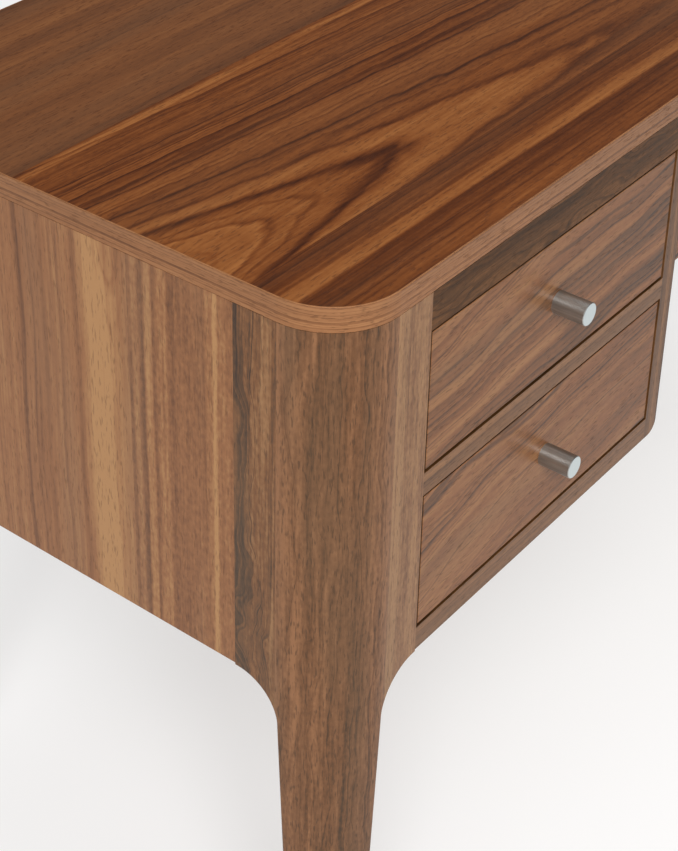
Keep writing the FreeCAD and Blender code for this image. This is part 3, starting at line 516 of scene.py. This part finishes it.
def steel(name, shade, end_reflection_colour, roughness, brushing):
    """Brushed steel. brushing holds how often the scratches change per metre along x, y and z.

    The second colour given is painted on the faces that look to the desk's front, as a painted reflection
    of the pale floor before them.
    """
    tree = Tree(name)
    x, y, z = tree.place()
    scratch = tree.noise(x * brushing[0], y * brushing[1], z * brushing[2], detail=3.0, roughness=0.7)
    cloud = tree.noise(x * 60, y * 60, z * 60, detail=2.0, seed=2.0)
    color = tree.mix(scratch * 1.4 + cloud * 0.3 - 0.35, srgb(*shade), darker(shade, 0.68))
    # painted reflection: the faces that look to the front take a flat colour of their own
    end = tree.math("LESS_THAN", tree.facing()[1], -0.95)
    color = tree.mix(end, color, srgb(*end_reflection_colour))
    return tree.finish(Base_Color=color, Metallic=1.0, Roughness=roughness + scratch * 0.15,
                       Normal=tree.bump(scratch, SCRATCH_DEPTH))


def plastic(name, shade):
    """Finely grained plastic."""
    tree = Tree(name)
    x, y, z = tree.place()
    grain = tree.noise(x * 900, y * 900, z * 900, detail=2.0)
    color = tree.mix(grain, srgb(*shade), darker(shade, 0.8))
    return tree.finish(Base_Color=color, Roughness=0.5 + grain * 0.2,
                       Normal=tree.bump(grain, GRAIN_DEPTH))


hardware = {
    "knob_steel": steel("knob_steel", (200, 200, 196), (204, 212, 212), 0.34, (420, 25, 420)),
    "slide_steel": steel("slide_steel", (176, 178, 180), (170, 172, 174), 0.30, (700, 12, 700)),
    "bracket_steel": steel("bracket_steel", (160, 160, 158), (156, 156, 154), 0.35, (300, 300, 300)),
    "screw_steel": steel("screw_steel", (168, 168, 166), (160, 160, 158), 0.35, (700, 700, 700)),
    "glide_plastic": plastic("glide_plastic", (60, 56, 52)),
}

for node_name, node in nodes.items():
    special = [cut for ending, cut in cuts.items() if node_name.endswith(ending)]
    for slot in node.material_slots:
        name = slot.material.name.split(".")[0]
        slot.material = special[0] if special else wood.get(name) or hardware[name]


# ---- floor, light and camera ----

FLOOR_HALF = 6.0
FLOOR_SHADES = (0.41, 0.43)     # the darkest and the lightest cloud of its grey
FLOOR_GLOW = 0.555              # its own light, which keeps it white under lamps that suit the wood
WORLD_LIGHT = 0.15
OVERHEAD_POWER = 130            # watts
MAIN_POWER = 415
CAMERA_PLACE = (-1.44018, -0.86801, 1.44909)
CAMERA_TURN = (-52.66, 29.874, 1.238)       # azimuth, elevation and roll in degrees
CAMERA_LENS = 82.875                        # millimetres
CAMERA_SHIFT = (0.0057, -0.2651)


def neutral(level):
    """A grey as the linear colour that shaders take."""
    return (level, level, level, 1)


def make_floor():
    """A flat plate, very slightly clouded, that isn't part of the desk."""
    low, high = -FLOOR_HALF, FLOOR_HALF
    corners = [(low, low, 0), (high, low, 0), (high, high, 0), (low, high, 0)]
    mesh = bpy.data.meshes.new("floor")
    mesh.from_pydata(corners, [], [(0, 1, 2, 3)])
    floor = bpy.data.objects.new("floor", mesh)
    bpy.context.scene.collection.objects.link(floor)
    tree = Tree("pale_floor")
    x, y, z = tree.place()
    cloud = tree.noise(x * 1.5, y * 1.5, z)
    color = tree.mix(cloud, neutral(FLOOR_SHADES[0]), neutral(FLOOR_SHADES[1]))
    mesh.materials.append(tree.finish(Base_Color=color, Roughness=0.9, Emission_Color=neutral(1),
                                      Emission_Strength=FLOOR_GLOW))


def area_light(name, spot, aim, size, power):
    """A lamp at spot that looks at aim. size holds its two sides."""
    lamp = bpy.data.lights.new(name, "AREA")
    lamp.shape = "RECTANGLE"
    lamp.size, lamp.size_y = size
    lamp.energy = power
    light = bpy.data.objects.new(name, lamp)
    bpy.context.scene.collection.objects.link(light)
    turn = (Vector(aim) - Vector(spot)).to_track_quat("-Z", "Y").to_matrix().to_4x4()
    light.matrix_world = Matrix.Translation(spot) @ turn


def make_camera():
    """The camera stands at the left front of the desk and looks down at its corner."""
    camera = bpy.data.cameras.new("camera")
    camera.lens = CAMERA_LENS
    camera.shift_x, camera.shift_y = CAMERA_SHIFT
    view = bpy.data.objects.new("camera", camera)
    bpy.context.scene.collection.objects.link(view)
    azimuth, elevation, roll = (math.radians(angle) for angle in CAMERA_TURN)
    turn = Matrix.Rotation(azimuth, 4, "Z") @ Matrix.Rotation(math.pi / 2 - elevation, 4, "X")
    view.matrix_world = Matrix.Translation(CAMERA_PLACE) @ turn @ Matrix.Rotation(roll, 4, "Z")
    bpy.context.scene.camera = view


def make_world():
    """A faint even light from all around."""
    world = bpy.data.worlds.new("studio")
    bpy.context.scene.world = world
    world.use_nodes = True
    background = world.node_tree.nodes["Background"]
    background.inputs["Color"].default_value = neutral(1)
    background.inputs["Strength"].default_value = WORLD_LIGHT


make_floor()
make_world()
area_light("overhead", spot=(1.2, -0.5, 6.0), aim=(0, 0, 0), size=(4.0, 4.0), power=OVERHEAD_POWER)
area_light("main", spot=(-4.0, -3.2, 5.0), aim=(-0.3, 0, 0.5), size=(3.0, 3.0), power=MAIN_POWER)
make_camera()
